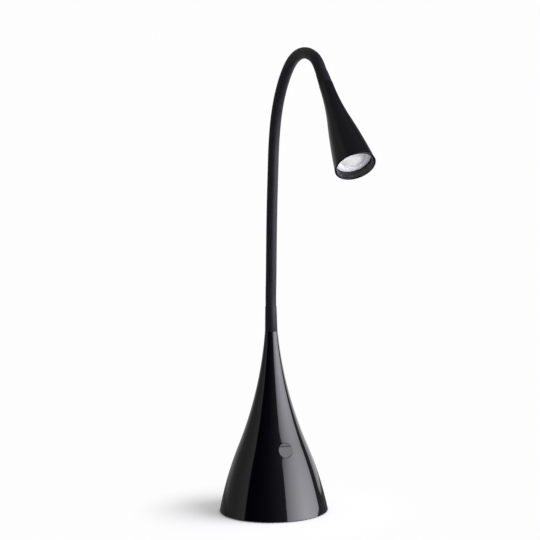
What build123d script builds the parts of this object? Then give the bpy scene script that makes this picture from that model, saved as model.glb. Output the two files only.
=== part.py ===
from build123d import *

import os
from dataclasses import dataclass
from itertools import pairwise
from math import asin, copysign, cos, degrees, radians, sin, sqrt

# Gooseneck desk lamp, in millimetres, +Z up. The origin is the centre of the foot
# pad's underside, and the lamp faces -Y. At rest the neck bends in the plane X = 0.
# A radius, height or length is that of the piece named, unless a comment says more.

# Base shell: its wall swells below the waist, where it leans in most, and hollows above it
base_foot_radius = 54.3
base_waist_radius = 33.9
base_waist_height = 67.6
base_waist_lean = 22.4
base_top_radius = 6.3
base_top_height = 180.5
base_wall = 2.4
base_edge_lift = 0.8
base_shelf_height = 142.0

# Bottom cover, its screws and the bosses that take them
cover_recess = 0.4
cover_thickness = 4.0
cover_clearance = 0.2
cover_screw_count = 3
boss_height = 16.0
boss_radius = 3.5
boss_inset = 2.5
boss_hole_depth = 13.0

# Anti-slip foot pad and ballast
pad_radius = 38.0
pad_recess = 0.8
pad_gap = 0.2
ballast_boss_gap = 1.1
ballast_height = 18.0
ballast_screw_count = 3
ballast_screw_circle = 22.0

# Driver board on the ballast's posts
post_count = 3
post_circle = 18.0
post_radius = 3.2
post_height = 7.0
board_radius = 23.0
board_thickness = 1.6
terminal_size = (9.0, 7.0, 6.0)
capacitor_radius = 4.0
capacitor_height = 12.0
transformer_size = (12.0, 9.0, 10.0)
rectifier_size = (6.0, 5.0, 2.5)
component_circle = 13.5

# Screws: one size for the cover, ballast and board, and a smaller one for the switch and LED board
screw_radius = 1.5
screw_head_radius = 2.7
screw_head_height = 1.6
cover_screw_length = 12.0
board_screw_length = 6.0
small_screw_radius = 1.0
small_screw_head_radius = 1.7
small_screw_head_height = 1.0
switch_screw_length = 5.0
led_screw_length = 3.6
thread_gap = 0.05
screw_clearance = 0.2

# Push button, in line with the base shell's surface normal
button_height = 67.0
button_radius = 7.5
button_bore_gap = 0.2
button_stand_out = 0.3
button_travel = 1.6
button_crease_offset = 3.85
button_facet_angle = 4.0
button_edge_radius = 0.5
button_groove_radius = 0.5
button_groove_depth = 0.3
button_guide_depth = 5.2
button_guide_wall = 1.8
button_flange_radius = 9.1
button_flange_thickness = 1.4
button_flange_gap = 0.1
stem_radius = 2.0
stem_engagement = 2.0
stem_end_gap = 1.4
stem_gap = 0.06

# Push switch behind the button, and its spring
switch_depth = 12.0
switch_size = (12.0, 12.0, 9.0)
switch_ear_length = 30.0
switch_ear_thickness = 1.6
switch_post_spacing = 25.0
switch_post_radius = 2.6
switch_pin_size = (0.8, 2.0, 3.0)
switch_pin_spacing = 5.0
spring_radius = 3.4
spring_wire_radius = 0.3
spring_turns = 3
spring_end_gap = 0.1

# Cord gland at the back
gland_height = 14.0
gland_neck_radius = 4.2
gland_flange_radius = 5.6
gland_flange_thickness = 1.8
cord_bore_radius = 2.6

# Neck: rigid pieces that pivot inside each other's ends
sleeve_radius = 5.3
sleeve_wall = 0.9
core_gap = 0.05
core_bore_radius = 2.2
lead_radius = 1.8
neck_length = 326.0
neck_straight_end = 8.7
piece_bends = (5.0, -1.5, 1.0, 2.0, 0.0, 10.0, 17.0, 18.0, 31.5, 28.0, 28.0)
pivot_gap = 0.3

# Collars, and the threaded fittings that hold the neck's ends, each with a flange between
# its stud and its spigot
base_collar_length = 24.7
head_collar_length = 14.0
collar_foot_radius = 6.2
collar_tip_radius = 5.65
collar_seat_height = 3.5
collar_gap = 0.1
stud_radius = 4.0
stud_hole_gap = 0.2
spigot_length = 12.0
flange_radius = 5.0
flange_thickness = 1.5
flange_gap = 0.1
nut_width = 13.0
nut_thickness = 4.0
nut_pocket_gap = 0.2
stud_tail = 2.0

# Head shell, described from the mouth at height 0 up to the neck
head_mouth_radius = 18.5
head_waist_radius = 10.8
head_waist_height = 51.75
head_waist_lean = 10.7
head_top_radius = 6.5
head_length = 94.8
head_wall = 1.6
head_solid_length = 24.8

# Lens ring, diffuser and reflector
lens_recess = 7.1
ring_fit_gap = 0.05
ring_face_radius = 13.4
ring_window_radius = 11.2
ring_cup_depth = 0.6
ring_ledge_thickness = 0.8
ring_length = 6.4
diffuser_radius = 12.0
diffuser_thickness = 1.6
diffuser_dome_height = 1.5
diffuser_side_gap = 0.15
reflector_wall = 0.8
reflector_throat_radius = 4.8
reflector_length = 10.0

# LED board, LEDs and heat sink
led_board_radius = 11.0
led_board_thickness = 1.2
led_size = 2.6
led_thickness = 0.7
led_pitch = 3.2
led_screw_circle = 8.8
sink_plate_thickness = 4.0
sink_clearance = 0.6
sink_rod_radius = 5.0
sink_boss_radius = 6.3
sink_boss_length = 8.0
fin_count = 8
fin_thickness = 1.4
fin_length = 26.0

ON_END = (Align.CENTER, Align.CENTER, Align.MIN)
HANGING = (Align.CENTER, Align.CENTER, Align.MAX)


@dataclass(frozen=True)
class Trumpet:
    """Turned wall of two arcs, tangent to each other at its waist."""

    foot_radius: float
    waist_radius: float
    waist_height: float
    waist_lean: float
    top_radius: float
    top_height: float

    def _arc(self, height, inset):
        """Centre and signed radius of the arc at a height, positive for a hollow arc."""
        lean = radians(self.waist_lean)
        above = height > self.waist_height - inset * sin(lean)
        end = (self.top_radius, self.top_height) if above else (self.foot_radius, 0.0)
        across, up = end[0] - self.waist_radius, end[1] - self.waist_height
        swing = (across**2 + up**2) / (2 * (across * cos(lean) + up * sin(lean)))
        centre_radius = self.waist_radius + swing * cos(lean)
        centre_height = self.waist_height + swing * sin(lean)
        return centre_radius, centre_height, swing + inset

    def radius_at(self, height, inset=0.0):
        """Wall radius at a height, measured an inset inside the outer surface."""
        centre_radius, centre_height, swing = self._arc(height, inset)
        return centre_radius - copysign(sqrt(swing**2 - (height - centre_height) ** 2), swing)

    def lean_at(self, height):
        """Angle between the outer surface and the axis at a height, in degrees."""
        _, centre_height, swing = self._arc(height, 0.0)
        return degrees(asin((centre_height - height) / swing))

    def solid(self, low, high, inset=0.0):
        """Turned solid that fills the wall, less an inset, between two heights."""
        knot = self.waist_height - inset * sin(radians(self.waist_lean))
        heights = [low, knot, high] if low < knot < high else [low, high]
        arcs = [
            ThreePointArc(*((self.radius_at(h, inset), 0, h) for h in (a, (a + b) / 2, b)))
            for a, b in pairwise(heights)
        ]
        axis_side = Polyline(arcs[-1] @ 1, (0, 0, high), (0, 0, low), arcs[0] @ 0)
        outline = Wire([*(arc.edge() for arc in arcs), *axis_side.edges()])
        return revolve(Face(outline), Axis.Z)


base_wall_shape = Trumpet(
    foot_radius=base_foot_radius,
    waist_radius=base_waist_radius,
    waist_height=base_waist_height,
    waist_lean=base_waist_lean,
    top_radius=base_top_radius,
    top_height=base_top_height,
)
head_wall_shape = Trumpet(
    foot_radius=head_mouth_radius,
    waist_radius=head_waist_radius,
    waist_height=head_waist_height,
    waist_lean=head_waist_lean,
    top_radius=head_top_radius,
    top_height=head_length,
)

# Levels and radii that follow from the driving dimensions
cover_bottom = base_edge_lift + cover_recess
cover_top = cover_bottom + cover_thickness
cover_radius = base_wall_shape.radius_at(cover_top, base_wall) - cover_clearance
boss_top = cover_top + boss_height
boss_circle = base_wall_shape.radius_at(boss_top, base_wall) - boss_inset
ballast_radius = boss_circle - boss_radius - ballast_boss_gap
pad_top = cover_bottom + pad_recess
cover_screw_seat = cover_bottom + screw_head_height + screw_clearance
ballast_screw_seat = pad_top + screw_head_height + screw_clearance
ballast_top = cover_top + ballast_height
board_bottom = ballast_top + post_height
board_top = board_bottom + board_thickness
terminal_top = board_top + terminal_size[2]
button_place = Location((0, -base_wall_shape.radius_at(button_height), button_height)) * Rot(
    X=90 - base_wall_shape.lean_at(button_height)
)
button_bore_radius = button_radius + button_bore_gap
switch_hole_depth = stem_engagement + button_travel + stem_end_gap
core_radius = sleeve_radius - sleeve_wall - core_gap
cup_radius = sleeve_radius + pivot_gap
neck_start = base_top_height + base_collar_length
joint_count = len(piece_bends) - 1
pivot_spacing = neck_length / joint_count
piece_lengths = (pivot_spacing / 2, *(joint_count - 1) * (pivot_spacing,), pivot_spacing / 2)
head_solid_height = head_length - head_solid_length
diffuser_seat = lens_recess + ring_cup_depth + ring_ledge_thickness
reflector_front = diffuser_seat + diffuser_thickness
led_board_front = reflector_front + reflector_length
led_board_back = led_board_front + led_board_thickness
sink_plate_back = led_board_back + sink_plate_thickness
stud_end_in_head = head_solid_height - sink_boss_length


def rod(radius, low, high):
    """Upright cylinder between two heights."""
    return Pos(0, 0, low) * Cylinder(radius, high - low, align=ON_END)


def tube(radius, bore, low, high):
    """Upright cylinder between two heights, with a bore unless that is 0."""
    return rod(radius, low, high) - rod(bore, low, high) if bore else rod(radius, low, high)


def turned(*corners):
    """Solid turned about Z from (radius, height) corners."""
    return revolve(Face(Wire.make_polygon([(r, 0, h) for r, h in corners])), Axis.Z)


def ring_of(count, radius, start_angle=0.0):
    """Places spaced evenly on a circle about Z."""
    return [Rot(Z=start_angle + i * 360 / count) * Pos(radius, 0, 0) for i in range(count)]


def screw(radius, length, head_radius, head_height):
    """Cross-head screw with its head on +Z and its shank down -Z."""
    slot_width, slot_depth = head_radius / 4, head_height * 0.6
    body = rod(head_radius, 0, head_height) + rod(radius, -length, 0)
    for angle in (0, 90):
        slot = Box(head_radius * 1.2, slot_width, slot_depth, align=HANGING)
        body -= Pos(0, 0, head_height) * Rot(Z=angle) * slot
    return body


def large_screw(length):
    """Screw of the size that the cover, the ballast and the board share."""
    return screw(screw_radius, length, screw_head_radius, screw_head_height)


def small_screw(length):
    """Screw of the size that the switch and the LED board share."""
    return screw(small_screw_radius, length, small_screw_head_radius, small_screw_head_height)


# Base


def cover_screw_places():
    """Cover screw axes, clear of the button at the front and the gland at the back."""
    return ring_of(cover_screw_count, boss_circle, 30.0)


def ballast_screw_places():
    """Ballast screw axes."""
    return ring_of(ballast_screw_count, ballast_screw_circle, 90.0)


def post_places():
    """Axes of the posts that carry the driver board."""
    return ring_of(post_count, post_circle, 90.0)


def switch_post_places():
    """Axes of the two posts that carry the switch, in the button's frame."""
    return [Pos(side * switch_post_spacing / 2, 0, 0) for side in (-1, 1)]


def make_base_shell():
    """Trumpet-shaped casing with its screw bosses, button guide and switch posts."""
    outside = base_wall_shape.solid(base_edge_lift, base_top_height)
    shell = outside - base_wall_shape.solid(0, base_shelf_height, base_wall)
    core_of_wall = base_wall_shape.solid(base_edge_lift, base_shelf_height, base_wall / 2)

    guide = rod(button_bore_radius + button_guide_wall, -button_guide_depth, button_guide_depth)
    posts = [place * rod(switch_post_radius, -switch_depth, 0) for place in switch_post_places()]
    bosses = [place * rod(boss_radius, cover_top, boss_top) for place in cover_screw_places()]
    fittings = [button_place * piece for piece in (guide, *posts)] + bosses
    for piece in fittings:
        shell += piece & core_of_wall

    shell -= button_place * rod(button_bore_radius, -2 * button_guide_depth, button_radius)
    post_hole = rod(small_screw_radius + thread_gap, -switch_depth, switch_screw_length - switch_depth)
    for place in switch_post_places():
        shell -= button_place * place * post_hole
    boss_hole = rod(screw_radius + thread_gap, cover_top, cover_top + boss_hole_depth)
    for place in cover_screw_places():
        shell -= place * boss_hole
    shell -= rod(stud_radius + stud_hole_gap, base_shelf_height, base_top_height)
    nut_pocket_radius = nut_width / sqrt(3) + nut_pocket_gap
    shell -= rod(nut_pocket_radius, base_shelf_height - nut_thickness, base_shelf_height)
    return shell - gland_axis() * rod(gland_neck_radius, 0, 2 * base_foot_radius)


def make_bottom_cover():
    """Disc that closes the base, with a recess for the foot pad and sunk screw heads."""
    cover = rod(cover_radius, cover_bottom, cover_top) - rod(pad_radius + pad_gap, cover_bottom, pad_top)
    hole = rod(screw_radius + screw_clearance, cover_bottom, cover_top)
    pocket_radius = screw_head_radius + screw_clearance
    for place in cover_screw_places():
        cover -= place * (hole + rod(pocket_radius, cover_bottom, cover_screw_seat))
    for place in ballast_screw_places():
        cover -= place * (hole + rod(pocket_radius, cover_bottom, ballast_screw_seat))
    return cover


def make_cover_screws():
    """Screws that hold the bottom cover to the shell's bosses."""
    upright = Pos(0, 0, cover_screw_seat) * Rot(X=180) * large_screw(cover_screw_length)
    return [place * upright for place in cover_screw_places()]


def make_ballast_screws():
    """Screws that hold the ballast to the bottom cover."""
    upright = Pos(0, 0, ballast_screw_seat) * Rot(X=180) * large_screw(cover_screw_length)
    return [place * upright for place in ballast_screw_places()]


def make_foot_pad():
    """Rubber pad that the lamp stands on."""
    return rod(pad_radius, 0, pad_top)


def make_ballast():
    """Cast disc that keeps the lamp upright, with posts for the driver board."""
    ballast = rod(ballast_radius, cover_top, ballast_top)
    for place in post_places():
        ballast += place * rod(post_radius, ballast_top, board_bottom)
        ballast -= place * rod(screw_radius + thread_gap, board_top - board_screw_length, board_bottom)
    screw_tip = ballast_screw_seat + cover_screw_length
    for place in ballast_screw_places():
        ballast -= place * rod(screw_radius + thread_gap, cover_top, screw_tip)
    return ballast


def make_driver_board():
    """Round circuit board that drops the supply to the LEDs' current."""
    board = rod(board_radius, board_bottom, board_top)
    for place in post_places():
        board -= place * rod(screw_radius + screw_clearance, board_bottom, board_top)
    return board


def make_board_screws():
    """Screws that hold the driver board to the ballast's posts."""
    return [place * Pos(0, 0, board_top) * large_screw(board_screw_length) for place in post_places()]


def make_driver_components():
    """Parts soldered to the driver board, with the lead's terminal block in the middle."""
    pieces = (
        Box(*terminal_size, align=ON_END),
        Pos(component_circle, 0, 0) * Cylinder(capacitor_radius, capacitor_height, align=ON_END),
        Pos(-component_circle, 0, 0) * Rot(Z=90) * Box(*transformer_size, align=ON_END),
        Pos(0, -component_circle, 0) * Box(*rectifier_size, align=ON_END),
    )
    return [Pos(0, 0, board_top) * piece for piece in pieces]


def gland_axis():
    """Place on the base's axis whose Z points out of the cord gland."""
    return Location((0, 0, gland_height)) * Rot(X=-90)


def make_cord_gland():
    """Rubber bush that grips the shell's wall and lines the cord's hole."""
    inside_radius = base_wall_shape.radius_at(gland_height, base_wall)
    outside_radius = base_wall_shape.radius_at(gland_height)
    inner_end = inside_radius - gland_flange_thickness
    outer_end = outside_radius + gland_flange_thickness
    wall = base_wall_shape.solid(base_edge_lift, base_shelf_height)
    wall -= base_wall_shape.solid(0, base_shelf_height, base_wall)
    neck = gland_axis() * rod(gland_neck_radius, 0, base_foot_radius)
    bush = (gland_axis() * rod(gland_flange_radius, inner_end, outer_end)) - (wall - neck)
    return bush - gland_axis() * rod(cord_bore_radius, 0, 2 * base_foot_radius)


# Button and switch, all in the button's frame: Z out of the surface, Y up the slope


def make_power_button():
    """Button cap with a land above a tilted facet, a groove between them, a flange and a stem."""
    cap_bottom = -button_guide_depth - button_flange_gap
    flange_bottom = cap_bottom - button_flange_thickness
    cap = rod(button_radius, flange_bottom, button_stand_out)
    crease = Pos(0, button_crease_offset, button_stand_out) * Rot(X=button_facet_angle)
    below_crease = (Align.CENTER, Align.MAX, Align.MIN)
    cap -= crease * Box(4 * button_radius, 4 * button_radius, button_radius, align=below_crease)
    curved_edges = cap.edges().filter_by(GeomType.LINE, reverse=True)
    cap = fillet([edge for edge in curved_edges if edge.center().Z > cap_bottom], button_edge_radius)
    groove = Pos(0, 0, button_groove_radius - button_groove_depth) * Rot(Y=90)
    cap -= crease * groove * Cylinder(button_groove_radius, 4 * button_radius)
    cap += rod(button_flange_radius, flange_bottom, cap_bottom)
    return button_place * (cap + rod(stem_radius, -switch_depth - stem_engagement, flange_bottom))


def make_switch_body():
    """Push switch with two mounting ears, a hole for the button's stem and two pins."""
    width, depth, height = switch_size
    body = Pos(0, 0, -switch_depth) * Box(width, depth, height, align=HANGING)
    ears = Box(switch_ear_length, depth / 2, switch_ear_thickness, align=HANGING)
    body += Pos(0, 0, -switch_depth) * ears
    body -= rod(stem_radius + stem_gap, -switch_depth - switch_hole_depth, -switch_depth)
    for place in switch_post_places():
        body -= place * rod(small_screw_radius + thread_gap, -switch_depth - height, -switch_depth)
    for side in (-1, 1):
        pin = Box(*switch_pin_size, align=HANGING)
        body += Pos(side * switch_pin_spacing / 2, 0, -switch_depth - height) * pin
    return button_place * body


def make_switch_spring():
    """Coil spring between the button's flange and the switch."""
    flange_bottom = -button_guide_depth - button_flange_gap - button_flange_thickness
    low = -switch_depth + spring_wire_radius + spring_end_gap
    high = flange_bottom - spring_wire_radius - spring_end_gap
    helix = Helix(pitch=(high - low) / spring_turns, height=high - low, radius=spring_radius)
    coil = Pos(0, 0, low) * helix
    section = Plane(origin=coil @ 0, z_dir=coil % 0) * Circle(spring_wire_radius)
    return button_place * sweep(section, path=coil, is_frenet=True)


def make_switch_screws():
    """Screws that hold the switch to the shell's posts."""
    seat = Pos(0, 0, -switch_depth - switch_ear_thickness) * Rot(X=180)
    placed_screw = seat * small_screw(switch_screw_length)
    return [button_place * place * placed_screw for place in switch_post_places()]


# Neck


def bend_step(length, bend):
    """Move along a stretch of neck that bends towards -Y by an angle in degrees."""
    if not bend:
        return Pos(0, 0, length)
    radius = length / radians(bend)
    return Pos(0, -radius, 0) * Rot(X=bend) * Pos(0, radius, 0)


def neck_places():
    """Places at the neck's start, its pivots and its end, with Z along the neck."""
    places = [Location((0, 0, neck_start))]
    for length, bend in zip(piece_lengths, piece_bends):
        places.append(places[-1] * bend_step(length, bend))
    places[-1] *= Pos(0, 0, neck_straight_end)
    return places


def bent_tube(radius, bore, length, bend):
    """Tube along one stretch of neck, from the origin."""
    if not bend:
        return tube(radius, bore, 0, length)
    ring = Circle(radius) - Circle(bore) if bore else Circle(radius)
    axis = Axis((0, -length / radians(bend), 0), (copysign(1, bend), 0, 0))
    return revolve(ring, axis, abs(bend))


def neck_piece(index, radius, bore, low_tail, high_tail):
    """One rigid piece of a neck layer: a cup at its lower pivot and a dome at its upper one.

    The first piece has a straight tail below in place of the cup, and the last piece has
    one above in place of the dome.
    """
    length, bend = piece_lengths[index], piece_bends[index]
    piece = bent_tube(radius, bore, length, bend)
    if index == 0:
        piece += tube(radius, bore, -low_tail, 0)
    else:
        piece -= Sphere(cup_radius)
    if index == joint_count:
        end = tube(radius, bore, 0, high_tail)
    else:
        end = tube(radius, bore, 0, sleeve_radius) & Sphere(sleeve_radius)
    return neck_places()[index] * (piece + bend_step(length, bend) * end)


def neck_layer(name, radius, bore, base_stop, head_stop):
    """All pieces of one layer of the neck, by node name.

    The stops are the heights, in the base's and the head's own frames, that the layer's
    ends reach down to.
    """
    low_tail = neck_start - base_stop
    high_tail = neck_straight_end + head_length + head_collar_length - head_stop
    return {
        f"{name}_{index + 1:02d}": neck_piece(index, radius, bore, low_tail, high_tail)
        for index in range(joint_count + 1)
    }


def make_neck():
    """Sleeve, spiral core and LED lead, each in rigid pieces."""
    seats = (base_top_height + collar_seat_height, head_length + collar_seat_height)
    spigot_tips = (base_top_height + spigot_length, head_length + spigot_length)
    return {
        **neck_layer("neck_sleeve", sleeve_radius, sleeve_radius - sleeve_wall, *seats),
        **neck_layer("neck_core", core_radius, core_bore_radius, *spigot_tips),
        **neck_layer("neck_lead", lead_radius, 0.0, terminal_top, led_board_back),
    }


# Ends of the neck, in a frame with Z along the axis of the base or the head


def make_collar(foot, length):
    """Tapered collar over the neck's end, with a ledge that the sleeve stands on."""
    tip = foot + length
    collar = turned((0, foot), (collar_foot_radius, foot), (collar_tip_radius, tip), (0, tip))
    collar -= rod(core_radius + collar_gap, foot, tip)
    collar -= rod(flange_radius + collar_gap, foot, foot + flange_thickness + flange_gap)
    return collar - rod(sleeve_radius + collar_gap, foot + collar_seat_height, tip)


def make_fitting(shoulder, stud_end):
    """Hollow fitting: a flange on the shell's top, a spigot in the sleeve and a stud below."""
    fitting = rod(flange_radius, shoulder, shoulder + flange_thickness)
    fitting += rod(core_radius, shoulder, shoulder + spigot_length)
    fitting += rod(stud_radius, stud_end, shoulder)
    return fitting - rod(core_bore_radius, stud_end, shoulder + spigot_length)


def make_nut():
    """Hexagon nut that clamps the neck to the base shell's shelf."""
    low = base_shelf_height - nut_thickness
    hexagon = RegularPolygon(nut_width / 2, 6, major_radius=False)
    nut = Pos(0, 0, low) * extrude(hexagon, nut_thickness)
    return nut - rod(stud_radius + thread_gap, low, base_shelf_height)


# Head, in a frame with its origin in the middle of the mouth and Z towards the neck


def make_head_shell():
    """Trumpet-shaped head casing, open at the mouth and solid round the stud."""
    shell = head_wall_shape.solid(0, head_length)
    shell -= head_wall_shape.solid(0, head_solid_height, head_wall)
    return shell - rod(stud_radius + stud_hole_gap, head_solid_height, head_length)


def make_lens_ring():
    """Ring in the mouth with a conical cup and a ledge in front of the diffuser."""
    back = lens_recess + ring_length
    ledge = lens_recess + ring_cup_depth
    ring = head_wall_shape.solid(lens_recess, back, head_wall + ring_fit_gap)
    face_edge, window_edge = (ring_face_radius, lens_recess), (ring_window_radius, ledge)
    ring -= turned((0, lens_recess), face_edge, window_edge, (0, ledge))
    ring -= rod(ring_window_radius, ledge, diffuser_seat)
    return ring - rod(diffuser_radius + diffuser_side_gap, diffuser_seat, back)


def make_diffuser():
    """Frosted disc with a dome that bulges towards the mouth through the ring."""
    dome_base = ring_window_radius - diffuser_side_gap
    dome_radius = (dome_base**2 + diffuser_dome_height**2) / (2 * diffuser_dome_height)
    dome = Pos(0, 0, diffuser_seat - diffuser_dome_height + dome_radius) * Sphere(dome_radius)
    dome &= rod(dome_base, diffuser_seat - diffuser_dome_height, diffuser_seat)
    return rod(diffuser_radius, diffuser_seat, reflector_front) + dome


def make_reflector():
    """Conical cup that throws the LEDs' light on the diffuser."""
    return turned(
        (ring_window_radius, reflector_front),
        (ring_window_radius + reflector_wall, reflector_front),
        (reflector_throat_radius + reflector_wall, led_board_front),
        (reflector_throat_radius, led_board_front),
    )


def led_screw_places():
    """Axes of the LED board's two screws."""
    return ring_of(2, led_screw_circle)


def make_led_board():
    """Metal-cored board that carries the LEDs."""
    board = rod(led_board_radius, led_board_front, led_board_back)
    for place in led_screw_places():
        board -= place * rod(small_screw_radius + thread_gap, led_board_front, led_board_back)
    return board


def make_leds():
    """Four square LEDs round the axis."""
    chip = Pos(0, 0, led_board_front) * Box(led_size, led_size, led_thickness, align=HANGING)
    return [Pos(x * led_pitch / 2, y * led_pitch / 2, 0) * chip for x in (-1, 1) for y in (-1, 1)]


def make_led_screws():
    """Screws that hold the LED board to the heat sink."""
    seat = Pos(0, 0, led_board_front) * Rot(X=180)
    return [place * seat * small_screw(led_screw_length) for place in led_screw_places()]


def make_heat_sink():
    """Finned aluminium rod that screws on the neck's stud and backs the LED board."""
    inset = head_wall + sink_clearance
    sink = head_wall_shape.solid(led_board_back, sink_plate_back, inset)
    sink += rod(sink_rod_radius, sink_plate_back, stud_end_in_head)
    sink += rod(sink_boss_radius, stud_end_in_head, head_solid_height)
    inside = head_wall_shape.solid(sink_plate_back, sink_plate_back + fin_length, inset)
    outward = (Align.MIN, Align.CENTER, Align.MIN)
    fin = Pos(0, 0, sink_plate_back) * Box(head_mouth_radius, fin_thickness, fin_length, align=outward)
    for place in ring_of(fin_count, 0.0):
        sink += (place * fin) & inside
    sink -= rod(core_bore_radius, led_board_back, head_solid_height)
    sink -= rod(stud_radius + thread_gap, stud_end_in_head, head_solid_height)
    screw_tip = led_board_front + led_screw_length
    for place in led_screw_places():
        sink -= place * rod(small_screw_radius + thread_gap, led_board_back, screw_tip)
    return sink


def make_head():
    """All pieces of the head except the neck's end, by node name, in place."""
    place = neck_places()[-1] * Pos(0, 0, head_length + head_collar_length) * Rot(X=180)
    shapes = {
        "head_shell": make_head_shell(),
        "head_collar": make_collar(head_length, head_collar_length),
        "head_neck_fitting": make_fitting(head_length, stud_end_in_head),
        "lens_ring": make_lens_ring(),
        "diffuser_lens": make_diffuser(),
        "reflector_cup": make_reflector(),
        "led_board": make_led_board(),
        "led_board_screws": make_led_screws(),
        "led_chips": make_leds(),
        "heat_sink": make_heat_sink(),
    }
    return {
        name: [place * piece for piece in shape] if isinstance(shape, list) else place * shape
        for name, shape in shapes.items()
    }


def make_base():
    """All pieces of the base except the neck's end, by node name."""
    stud_end = base_shelf_height - nut_thickness - stud_tail
    return {
        "base_shell": make_base_shell(),
        "bottom_cover": make_bottom_cover(),
        "cover_screws": make_cover_screws(),
        "anti_slip_foot": make_foot_pad(),
        "ballast_weight": make_ballast(),
        "ballast_screws": make_ballast_screws(),
        "power_button": make_power_button(),
        "switch_body": make_switch_body(),
        "switch_spring": make_switch_spring(),
        "switch_screws": make_switch_screws(),
        "driver_board": make_driver_board(),
        "driver_components": make_driver_components(),
        "board_screws": make_board_screws(),
        "cord_gland": make_cord_gland(),
        "base_collar": make_collar(base_top_height, base_collar_length),
        "base_neck_fitting": make_fitting(base_top_height, stud_end),
        "base_neck_nut": make_nut(),
    }


def write_parts():
    """Write every node to its own file."""
    os.makedirs("parts", exist_ok=True)
    for name, shape in {**make_base(), **make_neck(), **make_head()}.items():
        node = Compound(children=shape) if isinstance(shape, list) else shape
        export_step(node, f"parts/{name}.step")


write_parts()
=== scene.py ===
"""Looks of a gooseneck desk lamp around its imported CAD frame: meshes, finishes, studio and camera.

Metres, +Z up. The origin is the middle of the foot pad's underside, and the lamp faces -Y.
Every turned or tubular piece is an outline carried round a path by one Geometry Nodes tree. The
casings are turned from two tangent arcs, and the neck is in lengths that bend across its joints.
"""

import logging
import math
from dataclasses import dataclass, field, replace
from enum import Enum
from functools import partial
from typing import Any, Iterable, Optional, Sequence, Union

import bmesh
import bpy
import numpy as np
from mathutils import Matrix, Vector

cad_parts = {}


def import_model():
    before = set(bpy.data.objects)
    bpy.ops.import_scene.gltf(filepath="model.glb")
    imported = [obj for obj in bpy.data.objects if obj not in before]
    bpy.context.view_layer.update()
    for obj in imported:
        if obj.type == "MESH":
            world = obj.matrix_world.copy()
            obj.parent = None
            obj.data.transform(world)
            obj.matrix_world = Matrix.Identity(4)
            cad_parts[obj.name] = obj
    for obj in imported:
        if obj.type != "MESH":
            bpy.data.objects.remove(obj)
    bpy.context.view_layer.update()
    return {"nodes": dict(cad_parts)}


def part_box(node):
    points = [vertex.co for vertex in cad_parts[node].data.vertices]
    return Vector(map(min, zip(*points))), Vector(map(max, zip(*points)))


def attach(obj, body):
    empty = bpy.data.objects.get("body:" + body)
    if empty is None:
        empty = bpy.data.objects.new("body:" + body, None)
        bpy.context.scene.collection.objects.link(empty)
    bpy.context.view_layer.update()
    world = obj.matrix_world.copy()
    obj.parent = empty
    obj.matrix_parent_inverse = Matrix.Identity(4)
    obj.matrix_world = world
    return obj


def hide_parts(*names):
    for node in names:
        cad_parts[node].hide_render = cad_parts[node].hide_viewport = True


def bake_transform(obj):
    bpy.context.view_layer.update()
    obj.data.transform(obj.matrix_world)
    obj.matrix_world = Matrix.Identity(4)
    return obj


LOG = logging.getLogger("lamp")
MM = 0.001

Colour = tuple[float, float, float]
Corner = tuple[float, float, float]
Place = tuple[float, float, float]
Point = tuple[float, float]
Settings = dict[str, Any]


# Node graphs


@dataclass(frozen=True)
class Value:
    """A number that a node gives, with the operators that shader maths needs."""

    graph: "Graph"
    socket: bpy.types.NodeSocket

    def __add__(self, other: "Number") -> "Value":
        """Sum of this and another number."""
        return self.graph.maths("ADD", self, other)

    def __sub__(self, other: "Number") -> "Value":
        """This less another number."""
        return self.graph.maths("SUBTRACT", self, other)

    def __rsub__(self, other: "Number") -> "Value":
        """Another number less this."""
        return self.graph.maths("SUBTRACT", other, self)

    def __mul__(self, other: "Number") -> "Value":
        """Product of this and another number."""
        return self.graph.maths("MULTIPLY", self, other)

    def __truediv__(self, other: "Number") -> "Value":
        """This divided by another number."""
        return self.graph.maths("DIVIDE", self, other)

    __radd__ = __add__
    __rmul__ = __mul__

    def step(self, low: float, high: float) -> "Value":
        """Smooth step of this number.

        Args:
            low: Number that gives 0.
            high: Number that gives 1.

        Returns:
            The step, from 0 to 1.
        """
        sockets = {"Value": self, "From Min": low, "From Max": high}
        kind = "ShaderNodeMapRange"
        return self.graph.value(kind, {"interpolation_type": "SMOOTHSTEP"}, sockets, "Result")


Number = Union[Value, float]


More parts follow.
